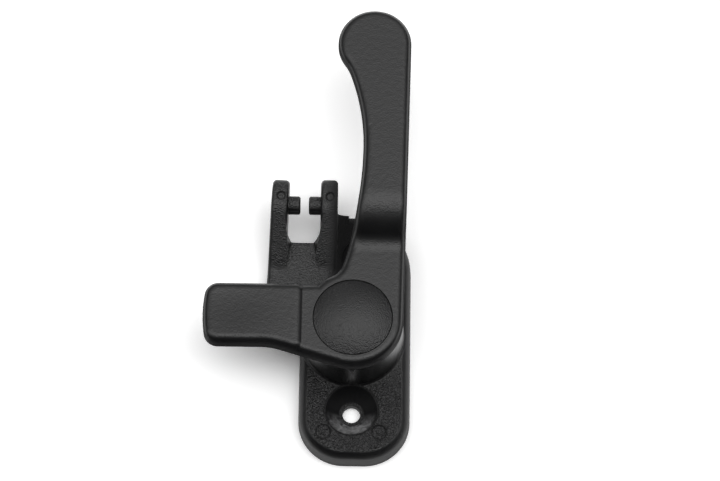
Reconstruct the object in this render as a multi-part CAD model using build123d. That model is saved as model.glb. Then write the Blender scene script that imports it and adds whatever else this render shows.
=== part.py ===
from build123d import *
import math
import os

# Mounting plate, millimetres; +X right, +Y along the lever, +Z out of the mounting face
PLATE_W = 21.3
PLATE_L = 49.9
PLATE_X = 0.5
PLATE_Y = 0.35
PLATE_T = 4.4
PLATE_CORNER = 8.8
PLATE_END_CORNER = 11.2
PLATE_DRAFT = 3.0
PLATE_EDGE = 1.9
PLATE_WALL = 1.8
CORE_DEPTH = 2.2

# Countersunk fixing holes
HOLE_R = 1.7
CONE_R = 2.4
CSK_R = 5.0
CSK_LIP = 0.35
HOLE_BOSS_WALL = 0.6
LOWER_HOLE = (0.0, -14.7)
UPPER_HOLE = (2.6, 15.8)

# Ejector-pin marks
MARK_DEPTH = 0.15
PLATE_MARK_R = 1.4
PLATE_MARKS = [(-5.3, -19.1), (5.3, -19.1)]
EAR_MARK_R = 0.8
EAR_MARKS = [(-14.2, 26.4), (-4.7, 26.3)]

# Boss that carries the handle
BOSS_TOP_Z = 12.7
BOSS_INSET = 0.05
BOSS_SPREAD = 0.25
BOSS_FLOOR = 2.6
BOSS_FLARE = 0.5
NIB_TOP_HALF_W = 1.2
NIB_FOOT_HALF_W = 0.25
NIB_ROOT = 1.2
NIB_REACH = 0.9
NIB_DROP = 3.4

# Stay fork: a level web, and two ears that rise from it in an S to a round nose
EAR_T = 3.3
EAR_TOP_Z = 11.3
EAR_SINK = 0.03
EAR_RAMP_Y = 12.6
EAR_RAMP_ANGLE = 34.0
EAR_RAMP_R = 5.0
EAR_END_Y = 30.8
EAR_NOSE_R = 3.4
EAR_UNDER_Z = 1.2
EAR_UNDER_ANGLE = 22.0
EAR_EDGE = 0.8
EAR_LEAN = 2.7
EAR_LEAN_Y = 10.7
EAR_START_Y = 6.0
EAR_BACK_R = 1.6
RIGHT_EAR_X = -3.25
LEFT_EAR_X = -16.8
WEB_END_Y = 19.3
WEB_BACK = (-9.3, -3.0)
SLOT_CORNER = 1.5
WEDGE_H = 4.2
LEFT_WEDGE_W = 0.9
LEFT_WEDGE_TAIL = 3.2
RIGHT_WEDGE_W = 1.3
RIGHT_WEDGE_TAIL = 4.3
GUSSET_R = 2.2
GUSSET_SINK = 0.3
PIN_R = 1.8
PIN_LENGTH = 2.3
PIN_Y = 25.6
PIN_Z = 8.0
PIN_EDGE = 0.25

# Handle
HUB_R = 9.6
HUB_TOP_Z = 15.4
HANDLE_EDGE = 1.65
PADDLE_X = 3.5
PADDLE_Y = 55.4
PADDLE_R = 7.1
NECK_X = 1.55
NECK_BITE = 0.44
NECK_UPPER_R = 43.0
NECK_LOWER_R = 78.0
PADDLE_BLEND_R = 8.0
STEP_START_Y = 13.2
STEP_RISE = 4.55
STEP_FOOT_R = 5.2
STEP_CREST_R = 10.9
ARM_END_X = -28.4
ARM_TOP_Y = 6.8
ARM_LOW_Y = -5.4
ARM_END_R = 26.0
ARM_CORNER = 2.7
ARM_INNER_R = 4.0
ARM_SWEEP_R = 12.0
ARM_SWEEP_X = -15.5
ARM_STEP_X = -9.3
ARM_STEP_RISE = 0.6
ARM_STEP_FOOT_R = 0.7
ARM_STEP_CREST_R = 2.0

# Push button and the cup it slides in
HUB_RIM = 2.1
BUTTON_GAP = 0.08
BUTTON_RIM_Z = 15.38
BUTTON_DOME_R = 17.0
BUTTON_EDGE = 0.2
BUTTON_CROWN_T = 2.0
BUTTON_SKIRT_WALL = 1.0
BUTTON_SKIRT_Z = 11.2
BUTTON_TRAVEL = 2.0
LUG_W = 2.8
LUG_H = 1.2
LUG_REACH = 0.75
LUG_PLAY = 0.15
CUP_WALL = 0.9
CUP_FLOOR = 1.8
RUN_CLEAR = 0.07
FACE_CLEAR = 0.3
SEAT_CLEAR = 0.2

# Pivot fastening and spring
POST_SHARE = 0.612
FRICTION_T = 0.5
FRICTION_PLAY = 0.1
WASHER_T = 0.8
SCREW_R = 1.7
SCREW_TIP_Z = 1.0
SCREW_HEAD_R = 3.2
SCREW_HEAD_H = 2.0
SCREW_DRIVE_R = 1.3
SCREW_DRIVE_DEPTH = 1.1
SCREW_FIT = 0.02
SPRING_WIRE_R = 0.4
SPRING_CLEAR = 0.4
SPRING_TURNS = 4.5

# How far a cutter runs past a face, and the least upward slope of a top face
OVERCUT = 1.0
UPWARD = 0.2

# Sizes that follow from the ones above
BOSS_TOP_R = HUB_R - BOSS_INSET
BOSS_FOOT_R = BOSS_TOP_R + BOSS_SPREAD
BUTTON_R = HUB_R - HUB_RIM
CUP_R = BUTTON_R + BUTTON_GAP
SPIGOT_R = CUP_R + CUP_WALL
BORE_R = SPIGOT_R + RUN_CLEAR
HANDLE_LOW_Z = BOSS_TOP_Z + SEAT_CLEAR
SPIGOT_LOW_Z = BOSS_FLOOR + FACE_CLEAR
CUP_FLOOR_Z = SPIGOT_LOW_Z + CUP_FLOOR
POST_TOP_Z = CUP_FLOOR_Z + FRICTION_T + FRICTION_PLAY
WASHER_TOP_Z = POST_TOP_Z + WASHER_T
SPRING_R = BUTTON_R - BUTTON_SKIRT_WALL - SPRING_WIRE_R - SPRING_CLEAR
WASHER_R = SPRING_R - SPRING_WIRE_R - SPRING_CLEAR
POST_R = POST_SHARE * WASHER_R
BUTTON_UNDER_Z = BUTTON_RIM_Z - BUTTON_CROWN_T
LEVER_TOP_Z = HUB_TOP_Z + STEP_RISE
PLATE_END_Y = PLATE_Y + PLATE_L / 2
SLOT_RIGHT_X = RIGHT_EAR_X - EAR_T
HANDLE_T = HUB_TOP_Z - HANDLE_LOW_Z
NECK_REACH = NECK_UPPER_R + PADDLE_R - NECK_BITE
NECK_Y = PADDLE_Y - math.sqrt(NECK_REACH**2 - (PADDLE_X - NECK_X + NECK_UPPER_R) ** 2)


def polar(center, radius, degrees):
    """Point at an angle on a circle."""
    angle = math.radians(degrees)
    return (center[0] + radius * math.cos(angle), center[1] + radius * math.sin(angle))


def arc(center, radius, start, end):
    """Circular edge from one angle to another."""
    middle = (start + end) / 2
    return ThreePointArc(
        polar(center, radius, start), polar(center, radius, middle), polar(center, radius, end)
    )


def cylinder(x, y, radius, low, high):
    """Upright cylinder between two heights."""
    return Pos(x, y, low) * Cylinder(
        radius, high - low, align=(Align.CENTER, Align.CENTER, Align.MIN)
    )


def block(x0, x1, y0, y1, z0, z1):
    """Box between two corners."""
    return Pos(x0, y0, z0) * Box(
        x1 - x0, y1 - y0, z1 - z0, align=(Align.MIN, Align.MIN, Align.MIN)
    )


def ring(outer, inner, low, high):
    """Flat ring round the pivot axis."""
    return cylinder(0, 0, outer, low, high) - cylinder(0, 0, inner, low, high)


def plate_outline(inset=0.0):
    """Plan of the plate, moved inwards by an inset; its far right corner is rounder than the others."""
    plan = Pos(PLATE_X, PLATE_Y) * Rectangle(PLATE_W - 2 * inset, PLATE_L - 2 * inset)
    corners = plan.vertices().sort_by_distance((PLATE_X + PLATE_W, PLATE_Y + PLATE_L))
    plan = fillet(corners[0], PLATE_END_CORNER - inset)
    corners = plan.vertices().sort_by_distance((PLATE_X + PLATE_W, PLATE_Y + PLATE_L))
    return fillet(corners[2:], PLATE_CORNER - inset)


def make_plate():
    """Drafted plate with its upper edge rounded."""
    plate = extrude(plate_outline(), amount=PLATE_T, taper=PLATE_DRAFT)
    rim = plate.faces().sort_by(Axis.Z)[-1].edges()
    return fillet(rim, PLATE_EDGE)


def ear_profile():
    """Side view of an ear: level foot, S-shaped ramp, round nose and a rising underside."""
    low = PLATE_T - EAR_SINK
    foot = (EAR_RAMP_Y, low + EAR_RAMP_R)
    climb = EAR_TOP_Z - low - 2 * EAR_RAMP_R * (1 - math.cos(math.radians(EAR_RAMP_ANGLE)))
    run = climb / math.tan(math.radians(EAR_RAMP_ANGLE))
    run += 2 * EAR_RAMP_R * math.sin(math.radians(EAR_RAMP_ANGLE))
    crest = (EAR_RAMP_Y + run, EAR_TOP_Z - EAR_RAMP_R)
    nose = (EAR_END_Y - EAR_NOSE_R, EAR_TOP_Z - EAR_NOSE_R)
    chin = polar(nose, EAR_NOSE_R, EAR_UNDER_ANGLE - 90)
    under_y = chin[0] - (chin[1] - EAR_UNDER_Z) / math.tan(math.radians(EAR_UNDER_ANGLE))
    return make_face(
        [
            Polyline(
                chin,
                (under_y, EAR_UNDER_Z),
                (EAR_START_Y, EAR_UNDER_Z),
                (EAR_START_Y, low),
                (EAR_RAMP_Y, low),
            ),
            arc(foot, EAR_RAMP_R, -90, -90 + EAR_RAMP_ANGLE),
            Line(
                polar(foot, EAR_RAMP_R, -90 + EAR_RAMP_ANGLE),
                polar(crest, EAR_RAMP_R, 90 + EAR_RAMP_ANGLE),
            ),
            arc(crest, EAR_RAMP_R, 90 + EAR_RAMP_ANGLE, 90),
            Line((crest[0], EAR_TOP_Z), (nose[0], EAR_TOP_Z)),
            arc(nose, EAR_NOSE_R, 90, EAR_UNDER_ANGLE - 90),
        ]
    )


def make_ear(outer_x, direction):
    """One ear: the side view carried across its thickness, with rounded upper edges."""
    ear = Pos(outer_x, 0, 0) * extrude(Plane.YZ * ear_profile(), amount=direction * EAR_T)
    back = ear.edges().filter_by(Axis.Z).sort_by_distance((outer_x, EAR_START_Y, PLATE_T))
    ear = fillet(back[0], EAR_BACK_R)
    crosswise = ear.edges().filter_by(Axis.X)
    upper = ear.edges().filter_by(lambda e: e.center().Z > PLATE_T)
    return fillet(upper - crosswise, EAR_EDGE)


def lean_left(shape):
    """Turn the left ear inwards about its root."""
    return Pos(LEFT_EAR_X, EAR_LEAN_Y, 0) * Rot(0, 0, -EAR_LEAN) * Pos(-LEFT_EAR_X, -EAR_LEAN_Y, 0) * shape


def slot_left_x(y):
    """Inner face of the leaning left ear at a given Y."""
    lean = math.radians(EAR_LEAN)
    return LEFT_EAR_X + EAR_T / math.cos(lean) + (y - EAR_LEAN_Y) * math.tan(lean)


def make_wedge(start_x, face_x, tail_x, reach, tail):
    """Sloping flank on an ear's inner face: widest at the web's end, dying out both ways."""
    inside = math.copysign(EAR_T / 2, reach)
    foot = make_face(
        Polyline(
            (start_x - inside, EAR_RAMP_Y),
            (start_x, EAR_RAMP_Y),
            (face_x + reach, WEB_END_Y),
            (tail_x, WEB_END_Y + tail),
            (tail_x - inside, WEB_END_Y + tail),
            close=True,
        )
    )
    lean = math.degrees(math.atan(reach / WEDGE_H))
    wedge = extrude(foot, amount=EAR_TOP_Z)
    flank = Pos(face_x + reach, WEB_END_Y, PLATE_T - EAR_SINK) * Rot(0, -lean, 0)
    across = sorted((0, math.copysign(PLATE_W, reach)))
    wedge -= flank * block(*across, -PLATE_L, PLATE_L, -PLATE_W, PLATE_W)
    return wedge & extrude(Plane.YZ * ear_profile(), amount=PLATE_W, both=True)


def make_pin(face_x, direction):
    """Stub pin that stands on an ear's inner face."""
    root = EAR_T / 2
    pin = Cylinder(PIN_R, PIN_LENGTH + root, align=(Align.CENTER, Align.CENTER, Align.MIN))
    pin = chamfer(pin.faces().sort_by(Axis.Z)[-1].edges(), PIN_EDGE)
    return Pos(face_x - direction * root, PIN_Y, PIN_Z) * Rot(0, direction * 90, 0) * pin


def web_plan():
    """Plan of the web between the ears, ending in a slot with round corners."""
    end_y = WEB_END_Y + SLOT_CORNER
    inside = EAR_T / 2
    plan = make_face(
        Polyline(
            (slot_left_x(end_y) - inside, end_y),
            (slot_left_x(EAR_START_Y) - inside, EAR_START_Y),
            WEB_BACK,
            (RIGHT_EAR_X, 0),
            (RIGHT_EAR_X, EAR_RAMP_Y),
            (SLOT_RIGHT_X + inside, end_y),
            close=True,
        )
    )
    far_y = end_y + PLATE_W
    slot = make_face(
        Polyline(
            (slot_left_x(WEB_END_Y), WEB_END_Y),
            (SLOT_RIGHT_X, WEB_END_Y),
            (SLOT_RIGHT_X, far_y),
            (slot_left_x(far_y), far_y),
            close=True,
        )
    )
    slot = fillet(slot.vertices().sort_by(Axis.Y)[:2], SLOT_CORNER)
    return plan - slot


def make_fork():
    """Two ears on a level web, with stub pins that face each other."""
    left = lean_left(make_ear(LEFT_EAR_X, 1))
    right = make_ear(RIGHT_EAR_X, -1)
    web = Pos(0, 0, EAR_UNDER_Z) * extrude(web_plan(), amount=PLATE_T - EAR_UNDER_Z)
    fork = left + right + web
    left_faces = [slot_left_x(y) for y in (EAR_RAMP_Y, WEB_END_Y, WEB_END_Y + LEFT_WEDGE_TAIL)]
    fork += make_wedge(*left_faces, LEFT_WEDGE_W, LEFT_WEDGE_TAIL)
    fork += make_wedge(SLOT_RIGHT_X, SLOT_RIGHT_X, SLOT_RIGHT_X, -RIGHT_WEDGE_W, RIGHT_WEDGE_TAIL)
    fork += make_pin(slot_left_x(PIN_Y), 1)
    fork += make_pin(SLOT_RIGHT_X, -1)
    return fork


def make_gusset():
    """Right ear's foot on the plate, with a concave flank that follows the plate's end."""
    foot = extrude(plate_outline(), amount=PLATE_T + GUSSET_R, taper=PLATE_DRAFT)
    root = block(SLOT_RIGHT_X, RIGHT_EAR_X, EAR_START_Y, PLATE_L, 0, PLATE_T)
    corner = (RIGHT_EAR_X + GUSSET_R, PLATE_T + GUSSET_R)
    flank = make_face(
        [
            Polyline(
                (RIGHT_EAR_X, PLATE_T + GUSSET_R),
                (RIGHT_EAR_X - GUSSET_SINK, PLATE_T + GUSSET_R),
                (RIGHT_EAR_X - GUSSET_SINK, PLATE_T - GUSSET_SINK),
                (RIGHT_EAR_X + GUSSET_R, PLATE_T - GUSSET_SINK),
                (RIGHT_EAR_X + GUSSET_R, PLATE_T),
            ),
            arc(corner, GUSSET_R, 270, 180),
        ]
    )
    fill = extrude(Plane.XZ * flank, amount=-PLATE_L)
    fill = fill & extrude(Plane.YZ * ear_profile(), amount=PLATE_W, both=True)
    return foot & (root + fill)


def make_boss():
    """Drafted boss with a small flare at its foot."""
    profile = make_face(
        [
            Polyline(
                (0, PLATE_T - BOSS_FLARE),
                (BOSS_FOOT_R + BOSS_FLARE, PLATE_T - BOSS_FLARE),
                (BOSS_FOOT_R + BOSS_FLARE, PLATE_T),
            ),
            arc((BOSS_FOOT_R + BOSS_FLARE, PLATE_T + BOSS_FLARE), BOSS_FLARE, 270, 180),
            Polyline(
                (BOSS_FOOT_R, PLATE_T + BOSS_FLARE),
                (BOSS_TOP_R, BOSS_TOP_Z),
                (0, BOSS_TOP_Z),
                (0, PLATE_T - BOSS_FLARE),
            ),
        ]
    )
    return revolve(Plane.XZ * profile, axis=Axis.Z)


def nib_section(z, half_w, reach):
    """Triangle of the index nib at one height."""
    back = NIB_ROOT - BOSS_TOP_R
    plan = Polyline((-half_w, back), (half_w, back), (0, -BOSS_TOP_R - reach), close=True)
    return Pos(0, 0, z) * make_face(plan)


def make_nib():
    """Pointed index nib at the front of the boss, dying out down the wall."""
    top = nib_section(BOSS_TOP_Z, NIB_TOP_HALF_W, NIB_REACH)
    low = nib_section(BOSS_TOP_Z - NIB_DROP, NIB_FOOT_HALF_W, BOSS_FOOT_R - BOSS_TOP_R)
    return loft([low, top], ruled=True)


def make_countersink(place):
    """Through hole with a cone and a short upright lip."""
    lip_z = PLATE_T - CSK_LIP
    cone_z = lip_z - (CSK_R - CONE_R)
    hole = cylinder(*place, HOLE_R, -OVERCUT, cone_z)
    cone = Pos(*place, cone_z) * Cone(
        CONE_R, CSK_R, lip_z - cone_z, align=(Align.CENTER, Align.CENTER, Align.MIN)
    )
    return hole + cone + cylinder(*place, CSK_R, lip_z, EAR_TOP_Z)


def make_core():
    """Hollow in the back of the plate, clear of the boss and the screw holes."""
    plan = plate_outline(PLATE_WALL) - Circle(BOSS_FOOT_R)
    for place in (LOWER_HOLE, UPPER_HOLE):
        plan -= Pos(*place) * Circle(CSK_R + HOLE_BOSS_WALL)
    corner_w = PLATE_W / 2 - PLATE_X + SLOT_RIGHT_X + PLATE_WALL
    corner_l = PLATE_END_Y - WEB_END_Y + PLATE_WALL
    corner = Rectangle(corner_w, corner_l, align=(Align.MIN, Align.MAX))
    plan -= Pos(PLATE_X - PLATE_W / 2, PLATE_END_Y) * corner
    return extrude(plan, amount=CORE_DEPTH)


def make_base():
    """Plate, boss and fork as one moulding."""
    plate = make_plate()
    plate -= block(-PLATE_W, SLOT_RIGHT_X, WEB_END_Y, PLATE_L, -OVERCUT, PLATE_T)
    base = plate + make_gusset() + make_fork() + make_boss() + make_nib()
    base -= cylinder(0, 0, BORE_R, BOSS_FLOOR, BOSS_TOP_Z + OVERCUT)
    base += cylinder(0, 0, POST_R, BOSS_FLOOR, POST_TOP_Z)
    base -= cylinder(0, 0, SCREW_R + SCREW_FIT, SCREW_TIP_Z - SEAT_CLEAR, POST_TOP_Z)
    for place in (LOWER_HOLE, UPPER_HOLE):
        base -= make_countersink(place)
    base -= make_core()
    for x, y in PLATE_MARKS:
        base -= cylinder(x, y, PLATE_MARK_R, PLATE_T - MARK_DEPTH, PLATE_T + OVERCUT)
    for x, y in EAR_MARKS:
        base -= cylinder(x, y, EAR_MARK_R, EAR_TOP_Z - MARK_DEPTH, EAR_TOP_Z + OVERCUT)
    return base


def bearing(start, end):
    """Angle of the line from one point to another, in degrees."""
    return math.degrees(math.atan2(end[1] - start[1], end[0] - start[0]))


def circle_meet(a, radius_a, b, radius_b):
    """Point where two circles cross, on the right of the line from a to b."""
    span = math.dist(a, b)
    along = (radius_a**2 - radius_b**2 + span**2) / (2 * span)
    aside = math.sqrt(radius_a**2 - along**2)
    return polar(polar(a, along, bearing(a, b)), aside, bearing(a, b) - 90)


def lever_plan():
    """Hub, straight right edge tangent to hub and paddle, and a waisted left edge of tangent arcs."""
    hub = (0, 0)
    paddle = (PADDLE_X, PADDLE_Y)
    upper = (NECK_X - NECK_UPPER_R, NECK_Y)
    lower = (NECK_X - NECK_LOWER_R, NECK_Y)
    blend = circle_meet(upper, NECK_UPPER_R - PADDLE_BLEND_R, paddle, PADDLE_BLEND_R + PADDLE_R)
    edge = bearing(hub, paddle) - math.degrees(math.acos((HUB_R - PADDLE_R) / math.dist(hub, paddle)))
    waist = bearing(upper, blend)
    root = -math.degrees(math.asin(NECK_Y / NECK_LOWER_R))
    outline = [
        Line(polar(hub, HUB_R, edge), polar(paddle, PADDLE_R, edge)),
        arc(paddle, PADDLE_R, edge, bearing(paddle, blend) + 360),
        arc(blend, PADDLE_BLEND_R, bearing(blend, paddle), waist),
        arc(upper, NECK_UPPER_R, waist, 0),
        arc(lower, NECK_LOWER_R, 0, root),
        Polyline(polar(lower, NECK_LOWER_R, root), hub, polar(hub, HUB_R, edge)),
    ]
    return make_face(outline) + Circle(HUB_R)


def arm_plan():
    """Short arm with a slightly bowed end and a lower edge that runs tangent to the hub."""
    middle_y = (ARM_TOP_Y + ARM_LOW_Y) / 2
    half = (ARM_TOP_Y - ARM_LOW_Y) / 2
    bow = ARM_END_R - math.sqrt(ARM_END_R**2 - half**2)
    sweep = (ARM_SWEEP_X, ARM_LOW_Y)
    bearing = math.degrees(math.atan2(ARM_LOW_Y, ARM_SWEEP_X))
    touch = polar((0, 0), HUB_R, bearing + math.degrees(math.acos(HUB_R / math.hypot(*sweep))))
    return make_face(
        [
            ThreePointArc(
                (ARM_END_X + bow, ARM_TOP_Y), (ARM_END_X, middle_y), (ARM_END_X + bow, ARM_LOW_Y)
            ),
            Polyline(
                (ARM_END_X + bow, ARM_LOW_Y),
                sweep,
                touch,
                (0, 0),
                (0, ARM_TOP_Y),
                (ARM_END_X + bow, ARM_TOP_Y),
            ),
        ]
    )


def round_corner(plan, point, radius):
    """Round the corner of a plan that lies nearest to a point."""
    corner = plan.vertices().sort_by_distance(point)[0]
    return fillet(corner, radius)


def handle_plan():
    """Whole outline of the handle seen from above."""
    plan = lever_plan() + arm_plan()
    plan = round_corner(plan, (ARM_END_X, ARM_TOP_Y), ARM_CORNER)
    plan = round_corner(plan, (ARM_END_X, ARM_LOW_Y), ARM_CORNER)
    plan = round_corner(plan, (ARM_SWEEP_X, ARM_LOW_Y), ARM_SWEEP_R)
    inner_x = NECK_X - NECK_LOWER_R + math.sqrt(NECK_LOWER_R**2 - (NECK_Y - ARM_TOP_Y) ** 2)
    plan = round_corner(plan, (inner_x, ARM_TOP_Y), ARM_INNER_R)
    return plan


def step_angle(rise, foot_r, crest_r):
    """Steepest angle of an S made of a hollow arc and a crest arc."""
    return math.degrees(math.acos(1 - rise / (foot_r + crest_r)))


def lever_profile():
    """Side view of hub and lever: level, an S-shaped step, level again."""
    angle = step_angle(STEP_RISE, STEP_FOOT_R, STEP_CREST_R)
    run = (STEP_FOOT_R + STEP_CREST_R) * math.sin(math.radians(angle))
    foot = (STEP_START_Y, HUB_TOP_Z + STEP_FOOT_R)
    crest = (STEP_START_Y + run, LEVER_TOP_Z - STEP_CREST_R)
    near = -2 * HUB_R
    far = PADDLE_Y + 2 * PADDLE_R
    return make_face(
        [
            Line((near, HANDLE_LOW_Z), (STEP_START_Y, HANDLE_LOW_Z)),
            arc(foot, STEP_FOOT_R + HANDLE_T, -90, -90 + angle),
            arc(crest, STEP_CREST_R - HANDLE_T, 90 + angle, 90),
            Polyline(
                (crest[0], LEVER_TOP_Z - HANDLE_T),
                (far, LEVER_TOP_Z - HANDLE_T),
                (far, LEVER_TOP_Z),
                (crest[0], LEVER_TOP_Z),
            ),
            arc(crest, STEP_CREST_R, 90, 90 + angle),
            arc(foot, STEP_FOOT_R, -90 + angle, -90),
            Polyline((STEP_START_Y, HUB_TOP_Z), (near, HUB_TOP_Z), (near, HANDLE_LOW_Z)),
        ]
    )


def arm_profile():
    """Front view of the arm: it steps up a little beside the hub."""
    angle = step_angle(ARM_STEP_RISE, ARM_STEP_FOOT_R, ARM_STEP_CREST_R)
    run = (ARM_STEP_FOOT_R + ARM_STEP_CREST_R) * math.sin(math.radians(angle))
    top = HUB_TOP_Z + ARM_STEP_RISE
    foot = (ARM_STEP_X, HUB_TOP_Z + ARM_STEP_FOOT_R)
    crest = (ARM_STEP_X - run, top - ARM_STEP_CREST_R)
    far = ARM_END_X - HUB_R
    return make_face(
        [
            arc(foot, ARM_STEP_FOOT_R, 270, 270 - angle),
            arc(crest, ARM_STEP_CREST_R, 90 - angle, 90),
            Polyline(
                (crest[0], top),
                (far, top),
                (far, HANDLE_LOW_Z),
                (ARM_STEP_X, HANDLE_LOW_Z),
                (ARM_STEP_X, HUB_TOP_Z),
            ),
        ]
    )


def rim_edges(faces):
    """Edges that belong to only one of the given faces."""
    seen = {}
    for face in faces:
        for edge in face.edges():
            middle = edge @ 0.5
            key = (round(middle.X, 3), round(middle.Y, 3), round(middle.Z, 3))
            seen.setdefault(key, []).append(edge)
    return ShapeList([edges[0] for edges in seen.values() if len(edges) == 1])


def make_handle():
    """Hub, lever and arm as one moulding, with a cup that turns in the boss."""
    plan = extrude(handle_plan(), amount=LEVER_TOP_Z + HUB_R)
    lever_side = extrude(Plane.YZ * lever_profile(), amount=2 * HUB_R)
    lever_side = lever_side + extrude(Plane.YZ * lever_profile(), amount=ARM_STEP_X)
    arm_front = extrude(Plane.XZ * arm_profile(), amount=HUB_R, both=True)
    body = plan & (lever_side + arm_front)
    upward = [f for f in body.faces() if f.normal_at().Z > UPWARD]
    body = fillet(rim_edges(upward), HANDLE_EDGE)
    body += cylinder(0, 0, SPIGOT_R, SPIGOT_LOW_Z, HANDLE_LOW_Z + HANDLE_T / 2)
    body -= cylinder(0, 0, CUP_R, CUP_FLOOR_Z, HUB_TOP_Z + OVERCUT)
    body -= cylinder(0, 0, POST_R + RUN_CLEAR, SPIGOT_LOW_Z - OVERCUT, CUP_FLOOR_Z)
    low = BUTTON_SKIRT_Z - BUTTON_TRAVEL - LUG_PLAY
    high = BUTTON_SKIRT_Z + LUG_H + LUG_PLAY
    half = LUG_W / 2 + LUG_PLAY
    body -= block(-half, half, -SPIGOT_R - OVERCUT, -POST_R, low, high)
    body -= block(-half, half, POST_R, SPIGOT_R + OVERCUT, low, high)
    return body


def make_button():
    """Domed cap with a skirt and two lugs that keep it in the cup."""
    inner = BUTTON_R - BUTTON_SKIRT_WALL
    corner = (BUTTON_R - BUTTON_EDGE, BUTTON_RIM_Z - BUTTON_EDGE)
    fall = BUTTON_DOME_R - BUTTON_EDGE
    half = math.degrees(math.asin(corner[0] / fall))
    dome = (0, corner[1] - fall * math.cos(math.radians(half)))
    profile = make_face(
        [
            Polyline(
                polar(dome, BUTTON_DOME_R, 90),
                (0, BUTTON_UNDER_Z),
                (inner, BUTTON_UNDER_Z),
                (inner, BUTTON_SKIRT_Z),
                (BUTTON_R, BUTTON_SKIRT_Z),
                (BUTTON_R, corner[1]),
            ),
            arc(corner, BUTTON_EDGE, 0, 90 - half),
            arc(dome, BUTTON_DOME_R, 90 - half, 90),
        ]
    )
    button = revolve(Plane.XZ * profile, axis=Axis.Z)
    lugs = ring(BUTTON_R + LUG_REACH, inner, BUTTON_SKIRT_Z, BUTTON_SKIRT_Z + LUG_H)
    reach = 2 * BUTTON_R
    lugs = lugs & block(-LUG_W / 2, LUG_W / 2, -reach, reach, 0, 2 * BUTTON_RIM_Z)
    return button + lugs


def make_spring():
    """Coil between the cup's floor and the button, with both ends ground flat."""
    low = CUP_FLOOR_Z + SPRING_WIRE_R / 2
    height = BUTTON_UNDER_Z - CUP_FLOOR_Z - SPRING_WIRE_R
    path = Pos(0, 0, low) * Helix(height / SPRING_TURNS, height, SPRING_R)
    section = Plane(origin=path @ 0, z_dir=path % 0) * Circle(SPRING_WIRE_R)
    coil = sweep(section, path=path, is_frenet=True)
    return coil & cylinder(0, 0, 2 * SPRING_R, CUP_FLOOR_Z, BUTTON_UNDER_Z)


def make_screw():
    """Pan-head screw with a cross recess."""
    top = WASHER_TOP_Z + SCREW_HEAD_H
    head = cylinder(0, 0, SCREW_HEAD_R, WASHER_TOP_Z, top)
    head = fillet(head.faces().sort_by(Axis.Z)[-1].edges(), SCREW_HEAD_H / 2)
    arm = SCREW_DRIVE_R / 4
    low = top - SCREW_DRIVE_DEPTH
    head -= block(-SCREW_DRIVE_R, SCREW_DRIVE_R, -arm, arm, low, top)
    head -= block(-arm, arm, -SCREW_DRIVE_R, SCREW_DRIVE_R, low, top)
    return head + cylinder(0, 0, SCREW_R, SCREW_TIP_Z, WASHER_TOP_Z)


def make_washer():
    """Steel washer clamped on the centre post."""
    return ring(WASHER_R, SCREW_R + SEAT_CLEAR, POST_TOP_Z, WASHER_TOP_Z)


def make_friction_washer():
    """Nylon washer that lies on the cup's floor."""
    return ring(WASHER_R, POST_R + SEAT_CLEAR, CUP_FLOOR_Z, CUP_FLOOR_Z + FRICTION_T)


def main():
    os.makedirs("parts", exist_ok=True)
    nodes = {
        "base": make_base,
        "handle": make_handle,
        "push_button": make_button,
        "button_spring": make_spring,
        "pivot_screw": make_screw,
        "pivot_washer": make_washer,
        "friction_washer": make_friction_washer,
    }
    for name, make in nodes.items():
        export_step(make(), f"parts/{name}.step")


main()
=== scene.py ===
"""Looks of the locking latch: black moulded plastic on a white studio table."""

import math

import bmesh
import bpy
import numpy as np
from mathutils import Matrix, Vector


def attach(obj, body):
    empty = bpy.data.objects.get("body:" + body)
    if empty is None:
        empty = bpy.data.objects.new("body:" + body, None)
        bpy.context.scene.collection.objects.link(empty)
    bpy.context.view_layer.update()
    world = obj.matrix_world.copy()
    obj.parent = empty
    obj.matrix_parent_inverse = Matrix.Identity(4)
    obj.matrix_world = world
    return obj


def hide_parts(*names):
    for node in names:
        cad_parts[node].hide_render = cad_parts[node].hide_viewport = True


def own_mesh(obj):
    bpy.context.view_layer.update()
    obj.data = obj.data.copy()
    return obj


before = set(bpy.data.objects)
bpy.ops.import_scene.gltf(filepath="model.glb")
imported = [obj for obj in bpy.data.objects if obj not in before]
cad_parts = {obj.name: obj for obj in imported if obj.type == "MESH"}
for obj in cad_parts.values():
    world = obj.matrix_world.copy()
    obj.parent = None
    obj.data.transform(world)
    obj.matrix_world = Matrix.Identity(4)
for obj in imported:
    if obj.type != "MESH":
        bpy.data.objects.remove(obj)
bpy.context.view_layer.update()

MM = 0.001
UM = 0.000001

# In the finishes, a pair of places, of noise levels or of parts of a normal is where a change starts and
# where it is complete.

# Shallow dish in the latch arm: middle, spread each way and depth
DISH_MIDDLE = np.array((-23.0, 4.0, 16.0)) * MM
DISH_SPREAD = np.array((8.0, 7.0, 20.0)) * MM
DISH_DEPTH = 0.9 * MM

# Screw holes, and the scuffs in their countersinks together with a painted highlight on the cone's low side:
# the radii where they end, the width of a streak, the noise levels that break streaks up, the faces that get
# the painted highlight (Y of the normal) and the colour
SCREW_HOLES = ((0.0, -14.7 * MM), (2.6 * MM, 15.8 * MM))
SCUFF_AND_HIGHLIGHT_EDGE = (4.4 * MM, 5.0 * MM)
SCUFF_STREAK = 0.9 * MM
SCUFF_BREAK = (0.30, 0.72)
PAINTED_HIGHLIGHT_FACES = (0.0, 0.6)
SCUFF_AND_HIGHLIGHT_COLOUR = "#8c8c8d"

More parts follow.
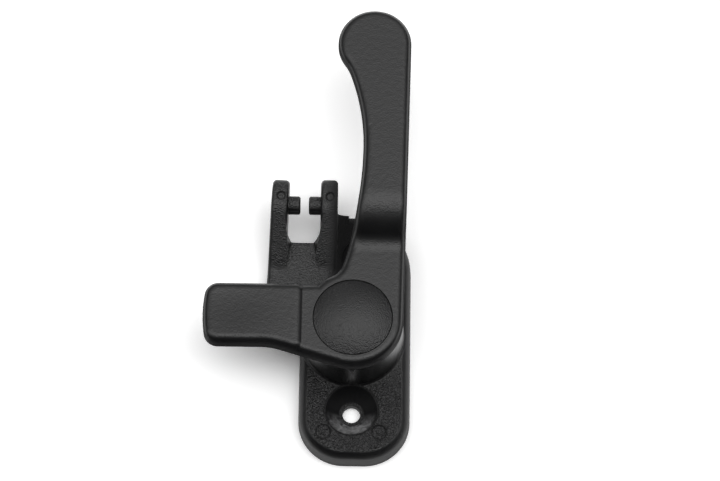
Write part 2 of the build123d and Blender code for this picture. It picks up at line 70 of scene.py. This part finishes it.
# Mould pins, each a centre and a radius: ejectors, given as X, Y and radius in mm, then the core pins of the
# countersinks. The witness ring that a pin leaves: half its width, its depth, the roughness it adds, and the
# faces that show it (Z of the normal).
EJECTORS_MM = ((-5.3, -19.1, 1.4), (5.3, -19.1, 1.4), (-14.2, 26.4, 0.8), (-4.7, 26.3, 0.8))
CORE_PIN_R = 5.1 * MM
MOULD_PINS = (*(((x * MM, y * MM), r * MM) for x, y, r in EJECTORS_MM),
              *((hole, CORE_PIN_R) for hole in SCREW_HOLES))
RING_HALF_W = 0.22 * MM
RING_DEPTH = 0.12 * MM
RING_DULL = 0.6
RING_FACES = (0.60, 0.85)

# Places on the base: the height where the plate gives way to what stands on it, the Y where the plate's front
# ends, and the pocket behind the boss, by the Y where it starts and the X of its left and right sides
PLATE_TOP = (4.4 * MM, 5.4 * MM)
PLATE_FRONT = (-11.0 * MM, -6.0 * MM)
POCKET_NEAR = (5.0 * MM, 9.0 * MM)
POCKET_LEFT = (-5.6 * MM, -3.1 * MM)
POCKET_RIGHT = (8.6 * MM, 9.6 * MM)

# Kinds of faces, by the Z of the normal: edges that are rolled, the plate's grained faces, its dull front, the
# handle's walls and the plate's walls; and by the Y of the normal: walls that look to the front
ROLLED_FACES = (0.50, 0.97)
GRAINED_FACES = (0.95, 0.995)
DULL_FACES = (0.90, 0.98)
HANDLE_WALLS = (0.42, 0.64)
PLATE_WALLS = (0.10, 0.40)
FRONT_WALLS = (-0.3, -0.8)

# Roughness added on the plate's front, in the pocket, on the handle's walls and on the plate's walls; how many
# times deeper the grain of the plate's front is; and how far the handle's front walls are lifted
FRONT_DULL = 0.08
POCKET_DULL = 0.64
WALL_DULL = 0.66
PLATE_WALL_DULL = 0.28
FRONT_COARSE = 1.8
FRONT_LIFT = 0.8

# Flow marks in black nylon: width, noise levels, change of roughness either way, and the two shades
FLOW_WIDTH = 9.0 * MM
FLOW_LEVELS = (0.3, 0.7)
FLOW_GLOSS = 0.03
FLOW_SHADES = ("#09090a", "#0c0c0d")

# Lines that turning leaves in steel: their spacing, the wave texture's angle for each unit of its scale, the
# roughness off and on a line, and the colour
TURNING_LINE = 0.4 * MM
WAVE_RATE = 20.0
STEEL_ROUGHNESS = (0.26, 0.38)
STEEL_COLOUR = "#b9bcc0"

# Clouds in uncoloured nylon: width and the two shades
CLOUD_WIDTH = 2.5 * MM
CLOUD_SHADES = ("#d8d2c2", "#ece8dc")

# Fork slot: its bottom end, the left ear's face there and its lean, the right ear's face, corner radius, and
# the stretch that is cut clear; the cut stays a hair off the ears' own faces. Then the steps of a corner, the
# angle from which an edge is sharp, and the gap that is closed between the CAD mesh's faces.
SLOT_END = 19.3 * MM
SLOT_LEFT = -13.09 * MM
SLOT_LEAN = math.tan(math.radians(2.7))
SLOT_RIGHT = -6.55 * MM
SLOT_CORNER = 1.15 * MM
SLOT_FAR = 23.7 * MM
SLOT_HEIGHTS = (-1.0 * MM, 12.0 * MM)
SLOT_HAIR = 0.03 * MM
CORNER_STEPS = 16
SHARP_ANGLE = math.radians(28.0)
MERGE_GAP = 0.1 * UM

# Button spring: wire and coil radius, its ground ends, its turns, and the steps along and round the wire
SPRING_WIRE_R = 0.4 * MM
SPRING_R = 5.7 * MM
SPRING_LOW = 4.7 * MM
SPRING_HIGH = 13.37 * MM
SPRING_TURNS = 4.5
SPRING_STEPS = 324
WIRE_STEPS = 16

# Camera: the photograph's frame is 720 x 481 pixels, seen through a long lens from above the front end; angles
# are in degrees
IMAGE_W = 720
FOCAL_PX = 3000.0
SENSOR_MM = 36.0
CAMERA_ELEVATION = 68.25
CAMERA_ROLL = 0.85
CAMERA_DISTANCE = 588.0 * MM
CAMERA_TARGET = Vector((1.15, 21.7, 0.0)) * MM
CAMERA_NEAR = 10.0 * MM

# Light: one long soft box overhead, brightest a little to the right, fading to both sides and to the far end;
# the camera's side stays dark. Each pair is an angle from straight up, in degrees, and the share of the full
# strength there.
KEY_STRENGTH = 3.12
ALONG_Y = ((-60, 0.0), (-45, 0.0083), (-33, 0.1), (-22, 0.4583), (-12, 0.9583), (2, 1.0), (15, 0.6333),
           (30, 0.425), (45, 0.3167), (60, 0.2083), (75, 0.125), (88, 0.0833))
ACROSS_X = ((-78, 0.03), (-62, 0.35), (-45, 0.68), (-20, 0.80), (0, 0.88), (20, 1.0), (30, 0.98),
            (47, 0.72), (62, 0.35), (78, 0.03))

# Table: its size, its colour, and the reflectance added where it is seen, directly or mirrored, and not where
# it only lights the latch
FLOOR_SIZE = 30.0
FLOOR_COLOUR = "#fdfdfd"
FLOOR_LIFT = 0.3


def linear(hex_colour):
    """Linear RGBA of an sRGB colour written as #rrggbb."""
    srgb = np.array([int(hex_colour[i:i + 2], 16) for i in (1, 3, 5)]) / 255.0
    rgb = np.where(srgb <= 0.04045, srgb / 12.92, ((srgb + 0.055) / 1.055) ** 2.4)
    return (*rgb.tolist(), 1.0)


def add(tree, kind, sockets=None, **settings):
    """Add a node, set its settings, and fill each named socket with a value or a link."""
    made = tree.nodes.new(kind)
    for name, value in settings.items():
        setattr(made, name, value)
    for name, value in (sockets or {}).items():
        if isinstance(value, bpy.types.NodeSocket):
            tree.links.new(value, made.inputs[name])
        else:
            made.inputs[name].default_value = value
    return made


def calc(tree, operation, *values):
    """Result of a math node for values that are numbers or sockets."""
    return add(tree, "ShaderNodeMath", dict(enumerate(values)), operation=operation).outputs[0]


def fade(tree, value, ends, levels=(0.0, 1.0)):
    """Run from the first level to the second while the value runs between the ends, and hold beyond them."""
    return add(tree, "ShaderNodeMapRange", {
        "Value": value, "From Min": ends[0], "From Max": ends[1],
        "To Min": levels[0], "To Max": levels[1]}).outputs["Result"]


def blend(tree, share, first, second):
    """Colour that is the first at share 0 and the second at share 1."""
    return add(tree, "ShaderNodeMix", {"Factor": share, "A": first, "B": second},
               data_type="RGBA").outputs["Result"]


def parts(tree, vector):
    """X, Y and Z of a vector."""
    return add(tree, "ShaderNodeSeparateXYZ", {"Vector": vector}).outputs


def face_normal(tree):
    """Normal of the surface as it was modelled."""
    return add(tree, "ShaderNodeNewGeometry").outputs["Normal"]


def facing_up(tree, faces):
    """Share from 0 to 1 of how much a face looks up, between two values of its normal's Z."""
    return fade(tree, parts(tree, face_normal(tree))["Z"], faces)


def facing_front(tree):
    """Share from 0 to 1 of how much a face looks towards the front end of the plate."""
    return fade(tree, parts(tree, face_normal(tree))["Y"], FRONT_WALLS)


def from_axis(tree, place, centre):
    """Distance of each point from the upright axis through a centre."""
    flat = add(tree, "ShaderNodeVectorMath", {0: place, 1: (1.0, 1.0, 0.0)}, operation="MULTIPLY")
    return add(tree, "ShaderNodeVectorMath", {0: flat.outputs["Vector"], 1: (*centre, 0.0)},
               operation="DISTANCE").outputs["Value"]


def arm_dish(tree, place):
    """Height in metres of the shallow dish that cooling leaves in the latch arm: a bell curve of the
    distance from its middle, each way divided by its own spread."""
    spread = add(tree, "ShaderNodeMapping", {
        "Vector": place, "Location": [-c / r for c, r in zip(DISH_MIDDLE, DISH_SPREAD)],
        "Scale": [1.0 / r for r in DISH_SPREAD]}).outputs["Vector"]
    square = add(tree, "ShaderNodeVectorMath", {0: spread, 1: spread}, operation="DOT_PRODUCT")
    bell = calc(tree, "POWER", math.exp(-1.0), square.outputs["Value"])
    return calc(tree, "MULTIPLY", bell, -DISH_DEPTH)


def witness_rings(tree, place):
    """Height in metres of the witness rings left by the mould's pins: a narrow V-groove at each pin's radius,
    on faces that look up."""
    height = 0.0
    for centre, radius in MOULD_PINS:
        away = calc(tree, "ABSOLUTE", calc(tree, "SUBTRACT", from_axis(tree, place, centre), radius))
        groove = fade(tree, away, (0.0, RING_HALF_W), (-RING_DEPTH, 0.0))
        height = calc(tree, "MINIMUM", groove, height)
    return calc(tree, "MULTIPLY", height, facing_up(tree, RING_FACES))


def screw_scuffs_and_painted_highlight(tree, place):
    """Share of scuffing and painted highlight in the countersinks: a painted highlight, full on the cone's low
    side, broken up into scuff streaks.
    """
    streaks = add(tree, "ShaderNodeTexNoise", {
        "Vector": place, "Scale": 1.0 / SCUFF_STREAK, "Detail": 3.0, "Roughness": 0.65, "Distortion": 0.6})
    broken = fade(tree, streaks.outputs["Fac"], SCUFF_BREAK)
    share = 0.0
    for centre in SCREW_HOLES:
        inside = fade(tree, from_axis(tree, place, centre), SCUFF_AND_HIGHLIGHT_EDGE, (1.0, 0.0))
        share = calc(tree, "MAXIMUM", inside, share)
    # painted highlight: the paler colour goes on the cone's low side, whose faces look towards +Y
    low_side = fade(tree, parts(tree, face_normal(tree))["Y"], PAINTED_HIGHLIGHT_FACES)
    return calc(tree, "MULTIPLY", calc(tree, "MULTIPLY", share, low_side), broken)


def rolled_normal(tree, place, low, high, front_lift):
    """Normal with its upward share scaled: below 1 a rounded edge turns over sooner, as edges that tighten
    towards the wall do, and above 1 later; level faces and upright walls keep theirs. Low, for the plate, and
    high, for what stands above it, are each a pair: the scale where the edge is steep, and near level. Front
    walls are lifted as well, by a share that is 0 for none, as edges that run out in one long round are."""
    rise = parts(tree, place)["Z"]
    steep, level = (fade(tree, rise, PLATE_TOP, scales) for scales in zip(low, high))
    share = fade(tree, facing_up(tree, ROLLED_FACES), (0.0, 1.0), (steep, level))
    scale = add(tree, "ShaderNodeCombineXYZ", {"X": 1.0, "Y": 1.0, "Z": share})
    front = calc(tree, "MULTIPLY", facing_front(tree), front_lift)
    steepness = fade(tree, parts(tree, face_normal(tree))["Z"], (0.0, 1.0), (1.0, 0.0))
    lift = add(tree, "ShaderNodeCombineXYZ", {"Z": calc(tree, "MULTIPLY", front, steepness)})
    leant = add(tree, "ShaderNodeVectorMath", {
        0: face_normal(tree), 1: scale.outputs["Vector"], 2: lift.outputs["Vector"]},
        operation="MULTIPLY_ADD").outputs["Vector"]
    return add(tree, "ShaderNodeVectorMath", {0: leant}, operation="NORMALIZE").outputs["Vector"]


def plate_coarseness(tree, place):
    """How many times deeper the grain is: more on the level face of the plate's front, and none on the
    plate's rounded edge, which is polished."""
    part = parts(tree, place)
    level = facing_up(tree, GRAINED_FACES)
    front = calc(tree, "MULTIPLY", fade(tree, part["Y"], PLATE_FRONT, (1.0, 0.0)), level)
    deeper = fade(tree, front, (0.0, 1.0), (1.0, FRONT_COARSE))
    grained = calc(tree, "MAXIMUM", fade(tree, part["Z"], PLATE_TOP), level)
    return calc(tree, "MULTIPLY", deeper, grained)


def wall_dullness(tree, place):
    """Added roughness: the upright walls keep the raw, unpolished mould's finish, apart from the front ones."""
    upright = fade(tree, facing_up(tree, HANDLE_WALLS), (0.0, 1.0), (WALL_DULL, 0.0))
    others = fade(tree, facing_front(tree), (0.0, 1.0), (1.0, 0.0))
    return calc(tree, "MULTIPLY", upright, others)


def plate_dullness(tree, place):
    """Added roughness: the plate's front has a mould face of its own, duller than the fork's web, the pocket
    behind the boss was left as it was eroded, and the plate's upright wall and the witness rings are dull."""
    part = parts(tree, place)
    front = fade(tree, part["Y"], PLATE_FRONT, (FRONT_DULL, 0.0))
    front = calc(tree, "MULTIPLY", front, facing_up(tree, DULL_FACES))
    behind = fade(tree, part["Y"], POCKET_NEAR, (0.0, POCKET_DULL))
    across = calc(tree, "MULTIPLY", fade(tree, part["X"], POCKET_LEFT),
                  fade(tree, part["X"], POCKET_RIGHT, (1.0, 0.0)))
    pocket = calc(tree, "MULTIPLY", behind, across)
    upright = fade(tree, facing_up(tree, PLATE_WALLS), (0.0, 1.0), (PLATE_WALL_DULL, 0.0))
    wall = calc(tree, "MULTIPLY", upright, fade(tree, part["Z"], PLATE_TOP, (1.0, 0.0)))
    dullest = calc(tree, "MULTIPLY", witness_rings(tree, place), -RING_DULL / RING_DEPTH)
    for other in (front, pocket, wall):
        dullest = calc(tree, "MAXIMUM", dullest, other)
    return dullest


def new_material(name):
    """Empty node material and its tree."""
    material = bpy.data.materials.new(name)
    material.use_nodes = True
    material.node_tree.nodes.clear()
    return material, material.node_tree


def moulded_nylon(name, roughness, grain, mottle, grain_faces, low_roll, high_roll, front_lift=0.0,
                  coarseness=None, relief=None, dullness=None, scuffs_and_highlight=None):
    """Black nylon out of a spark-eroded mould: near-black body, satin skin, and an even grain that breaks the
    light up. Real spark grain is about 0.1 mm; it is drawn about two and a half times coarser so that it shows.
    Grain and mottle are (width in mm, depth in um); slow flow marks change the gloss from place to place."""
    material, tree = new_material(name)
    place = add(tree, "ShaderNodeTexCoord").outputs["Object"]
    height = -0.5 * (grain[1] + mottle[1]) * UM
    for width_mm, depth_um in (grain, mottle):
        pits = add(tree, "ShaderNodeTexNoise", {
            "Vector": place, "Scale": 1.0 / (width_mm * MM), "Detail": 0.0})
        height = calc(tree, "MULTIPLY_ADD", pits.outputs["Fac"], depth_um * UM, height)
    height = calc(tree, "MULTIPLY", height, facing_up(tree, grain_faces))
    if coarseness:
        height = calc(tree, "MULTIPLY", height, coarseness(tree, place))
    if relief:
        height = calc(tree, "ADD", height, relief(tree, place))
    bump = add(tree, "ShaderNodeBump", {
        "Strength": 1.0, "Distance": 1.0, "Height": height,
        "Normal": rolled_normal(tree, place, low_roll, high_roll, front_lift)})
    flow = add(tree, "ShaderNodeTexNoise", {
        "Vector": place, "Scale": 1.0 / FLOW_WIDTH, "Detail": 2.0, "Roughness": 0.5}).outputs["Fac"]
    colour = blend(tree, flow, *map(linear, FLOW_SHADES))
    gloss = fade(tree, flow, FLOW_LEVELS, (roughness - FLOW_GLOSS, roughness + FLOW_GLOSS))
    if dullness:
        gloss = calc(tree, "ADD", gloss, dullness(tree, place))
    # scuffs with a painted highlight on the countersinks' low side
    if scuffs_and_highlight:
        colour = blend(tree, scuffs_and_highlight(tree, place), colour, linear(SCUFF_AND_HIGHLIGHT_COLOUR))
    skin = add(tree, "ShaderNodeBsdfPrincipled", {
        "Base Color": colour, "Roughness": gloss, "IOR": 1.5, "Normal": bump.outputs["Normal"]})
    add(tree, "ShaderNodeOutputMaterial", {"Surface": skin.outputs["BSDF"]})
    return material


def zinc_plated_steel():
    """Turned steel with a bright zinc plating: grey metal with fine lines round the axis."""
    material, tree = new_material("zinc_plated_steel")
    place = add(tree, "ShaderNodeTexCoord").outputs["Object"]
    lines = add(tree, "ShaderNodeTexWave", {
        "Vector": place, "Scale": 2.0 * math.pi / (WAVE_RATE * TURNING_LINE), "Distortion": 1.5},
        wave_type="RINGS", rings_direction="Z")
    skin = add(tree, "ShaderNodeBsdfPrincipled", {
        "Base Color": linear(STEEL_COLOUR), "Metallic": 1.0,
        "Roughness": fade(tree, lines.outputs["Fac"], (0.0, 1.0), STEEL_ROUGHNESS)})
    add(tree, "ShaderNodeOutputMaterial", {"Surface": skin.outputs["BSDF"]})
    return material


def natural_nylon():
    """Uncoloured moulded nylon: warm white, a little cloudy, smooth."""
    material, tree = new_material("natural_nylon_moulded")
    place = add(tree, "ShaderNodeTexCoord").outputs["Object"]
    cloud = add(tree, "ShaderNodeTexNoise", {"Vector": place, "Scale": 1.0 / CLOUD_WIDTH, "Detail": 2.0})
    tint = blend(tree, cloud.outputs["Fac"], *map(linear, CLOUD_SHADES))
    skin = add(tree, "ShaderNodeBsdfPrincipled", {"Base Color": tint, "Roughness": 0.45, "IOR": 1.53})
    add(tree, "ShaderNodeOutputMaterial", {"Surface": skin.outputs["BSDF"]})
    return material


def dress(node, material):
    """Give a CAD node its one material."""
    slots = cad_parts[node].data.materials
    slots.clear()
    slots.append(material)


def placed(name, data):
    """New object in the scene."""
    piece = bpy.data.objects.new(name, data)
    bpy.context.scene.collection.objects.link(piece)
    return piece


def slot_cutter():
    """Upright prism on the slot's plan: two quarter circles for the bottom corners, and straight sides along
    the ears' faces, of which the left one leans."""
    turn = np.linspace(0.0, np.pi / 2, CORNER_STEPS)
    radius = SLOT_CORNER - SLOT_HAIR
    middle = np.array((SLOT_LEFT + SLOT_CORNER, SLOT_RIGHT - SLOT_CORNER))
    level = SLOT_END + SLOT_CORNER
    left = np.stack((middle[0] - radius * np.cos(turn), level - radius * np.sin(turn)), axis=1)
    right = np.stack((middle[1] + radius * np.sin(turn), level - radius * np.cos(turn)), axis=1)
    lean = (SLOT_FAR - SLOT_END) * SLOT_LEAN
    far = np.array(((SLOT_RIGHT - SLOT_HAIR, SLOT_FAR), (SLOT_LEFT + SLOT_HAIR + lean, SLOT_FAR)))
    plan = np.concatenate((left, right, far))
    count = len(plan)
    points = np.concatenate([np.column_stack((plan, np.full(count, z))) for z in SLOT_HEIGHTS])
    low = np.arange(count)
    after = np.roll(low, -1)
    walls = np.stack((low, after, after + count, low + count), axis=1)
    mesh = bpy.data.meshes.new("slot_cutter")
    mesh.from_pydata(points.tolist(), [], walls.tolist() + [low[::-1].tolist(), (low + count).tolist()])
    return placed("slot_cutter", mesh)


def finished(piece):
    """Mesh of a piece with its modifiers applied, which are then removed."""
    graph = bpy.context.evaluated_depsgraph_get()
    mesh = bpy.data.meshes.new_from_object(piece.evaluated_get(graph), depsgraph=graph)
    piece.modifiers.clear()
    piece.data = mesh
    return mesh


def make_base(material):
    """The base's solid with the fork's slot cut clear between the ears, down to its rounded corners; flat faces
    keep flat normals, and edges over the sharp angle stay sharp."""
    mesh = bpy.data.meshes.new("base_moulding")
    solid = bmesh.new()
    solid.from_mesh(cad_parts["base"].data)
    bmesh.ops.remove_doubles(solid, verts=solid.verts, dist=MERGE_GAP)
    solid.to_mesh(mesh)
    solid.free()
    mesh.attributes.remove(mesh.attributes["custom_normal"])
    base = placed("base_moulding", mesh)
    cutter = slot_cutter()
    cut = base.modifiers.new("slot", "BOOLEAN")
    cut.operation = "DIFFERENCE"
    cut.solver = "EXACT"
    cut.object = cutter
    mesh = finished(base)
    bpy.data.objects.remove(cutter)
    mesh.shade_smooth()
    mesh.set_sharp_from_angle(angle=SHARP_ANGLE)
    weigh = base.modifiers.new("flat_faces", "WEIGHTED_NORMAL")
    weigh.keep_sharp = True
    mesh = finished(base)
    mesh.materials.clear()
    mesh.materials.append(material)
    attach(base, "base")
    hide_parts("base")


def make_spring(material):
    """Compression spring with ground ends: a circle of the wire's radius carried along a helix, square to it,
    with each height held between the two ground faces, and a centre point that closes each end."""
    turn = np.linspace(0.0, 2.0 * np.pi * SPRING_TURNS, SPRING_STEPS)
    rise = (SPRING_HIGH - SPRING_LOW - SPRING_WIRE_R) / turn[-1]
    out = np.stack((np.cos(turn), np.sin(turn), np.zeros_like(turn)), axis=1)
    along = np.stack((-SPRING_R * np.sin(turn), SPRING_R * np.cos(turn), np.full_like(turn, rise)), axis=1)
    along /= np.linalg.norm(along, axis=1, keepdims=True)
    side = np.cross(along, out)
    middle = SPRING_R * out
    middle[:, 2] = SPRING_LOW + SPRING_WIRE_R / 2 + rise * turn
    around = np.linspace(0.0, 2.0 * np.pi, WIRE_STEPS, endpoint=False)[None, :, None]
    spokes = np.cos(around) * out[:, None] + np.sin(around) * side[:, None]
    ring = middle[:, None] + SPRING_WIRE_R * spokes
    points = np.concatenate((ring.reshape(-1, 3), middle[:1], middle[-1:]))
    points[:, 2] = np.clip(points[:, 2], SPRING_LOW, SPRING_HIGH)
    index = np.arange(SPRING_STEPS * WIRE_STEPS).reshape(SPRING_STEPS, WIRE_STEPS)
    after = np.roll(index, -1, axis=1)
    skin = np.stack((index[:-1], after[:-1], after[1:], index[1:]), axis=-1).reshape(-1, 4)
    first = np.stack((after[0], index[0], np.full(WIRE_STEPS, index.size)), axis=-1)
    last = np.stack((index[-1], after[-1], np.full(WIRE_STEPS, index.size + 1)), axis=-1)
    mesh = bpy.data.meshes.new("spring_coil")
    mesh.from_pydata(points.tolist(), [], skin.tolist() + first.tolist() + last.tolist())
    mesh.shade_smooth()
    mesh.materials.append(material)
    coil = placed("spring_coil", mesh)
    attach(coil, "handle")
    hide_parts("button_spring")
    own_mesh(coil)


def make_floor():
    """White table: a flat sheet in the plane of the mounting face."""
    half = FLOOR_SIZE / 2
    corners = [(-half, -half, 0), (half, -half, 0), (half, half, 0), (-half, half, 0)]
    mesh = bpy.data.meshes.new("table")
    mesh.from_pydata(corners, [], [(0, 1, 2, 3)])
    floor = placed("table", mesh)
    material, tree = new_material("white_laminate")
    ray = add(tree, "ShaderNodeLightPath").outputs
    seen = calc(tree, "MAXIMUM", ray["Is Camera Ray"], ray["Is Glossy Ray"])
    seen = calc(tree, "MAXIMUM", seen, ray["Is Transmission Ray"])
    sheet = add(tree, "ShaderNodeBsdfDiffuse", {"Color": linear(FLOOR_COLOUR)})
    paler = add(tree, "ShaderNodeBsdfDiffuse", {"Color": calc(tree, "MULTIPLY", seen, FLOOR_LIFT)})
    both = add(tree, "ShaderNodeAddShader", {0: sheet.outputs["BSDF"], 1: paler.outputs["BSDF"]})
    add(tree, "ShaderNodeOutputMaterial", {"Surface": both.outputs["Shader"]})
    mesh.materials.append(material)


def make_light():
    """Sky whose brightness is a curve of the angle along Y times a curve of the angle across X. A ramp holds
    each curve, from 90 degrees on one side to 90 on the other."""
    world = bpy.data.worlds.new("studio")
    bpy.context.scene.world = world
    world.use_nodes = True
    tree = world.node_tree
    tree.nodes.clear()
    part = parts(tree, add(tree, "ShaderNodeTexCoord").outputs["Generated"])
    level = KEY_STRENGTH
    for axis, curve in (("Y", ALONG_Y), ("X", ACROSS_X)):
        angle = calc(tree, "ARCTAN2", part[axis], part["Z"])
        share = fade(tree, angle, (-math.pi / 2, math.pi / 2))
        ramp = add(tree, "ShaderNodeValToRGB", {"Fac": share})
        stops = ramp.color_ramp.elements
        stops.remove(stops[0])
        stops[0].color = (0, 0, 0, 1)
        for degrees, value in curve:
            stops.new((degrees + 90) / 180).color = (value, value, value, 1)
        level = calc(tree, "MULTIPLY", level, ramp.outputs["Color"])
    sky = add(tree, "ShaderNodeBackground", {"Color": (1, 1, 1, 1), "Strength": level})
    add(tree, "ShaderNodeOutputWorld", {"Surface": sky.outputs["Background"]})


def make_camera():
    """Long lens above the front end, rolled a little, aimed at the middle of the latch."""
    data = bpy.data.cameras.new("camera")
    data.sensor_fit = "HORIZONTAL"
    data.sensor_width = SENSOR_MM
    data.lens = FOCAL_PX / IMAGE_W * SENSOR_MM
    data.clip_start = CAMERA_NEAR
    data.clip_end = 2 * FLOOR_SIZE
    camera = placed("camera", data)
    tilt = Matrix.Rotation(math.radians(90.0 - CAMERA_ELEVATION), 4, "X")
    roll = Matrix.Rotation(math.radians(CAMERA_ROLL), 4, "Z")
    back = tilt @ Vector((0, 0, CAMERA_DISTANCE))
    camera.matrix_world = Matrix.Translation(CAMERA_TARGET + back) @ tilt @ roll
    bpy.context.scene.camera = camera


# The base's countersinks carry scuffs and a painted highlight on the cone's low side.
base_black = moulded_nylon(
    "black_nylon_base", roughness=0.33, grain=(0.24, 150.0), mottle=(0.7, 50.0), grain_faces=(0.72, 0.90),
    low_roll=(1.25, 0.50), high_roll=(1.25, 1.25), coarseness=plate_coarseness, relief=witness_rings,
    dullness=plate_dullness, scuffs_and_highlight=screw_scuffs_and_painted_highlight)
handle_black = moulded_nylon(
    "black_nylon_handle", roughness=0.32, grain=(0.26, 48.0), mottle=(0.9, 42.0), grain_faces=(0.86, 0.97),
    low_roll=(0.85, 0.90), high_roll=(0.85, 0.90), front_lift=FRONT_LIFT, relief=arm_dish,
    dullness=wall_dullness)
button_black = moulded_nylon(
    "black_nylon_button", roughness=0.34, grain=(0.22, 88.0), mottle=(0.8, 24.0), grain_faces=(0.72, 0.90),
    low_roll=(1.0, 1.0), high_roll=(1.0, 1.0))
steel = zinc_plated_steel()
white_nylon = natural_nylon()

dress("handle", handle_black)
dress("push_button", button_black)
dress("pivot_screw", steel)
dress("pivot_washer", steel)
dress("friction_washer", white_nylon)

make_base(base_black)
make_spring(steel)
make_floor()
make_light()
make_camera()
bpy.context.scene.view_settings.view_transform = "Standard"
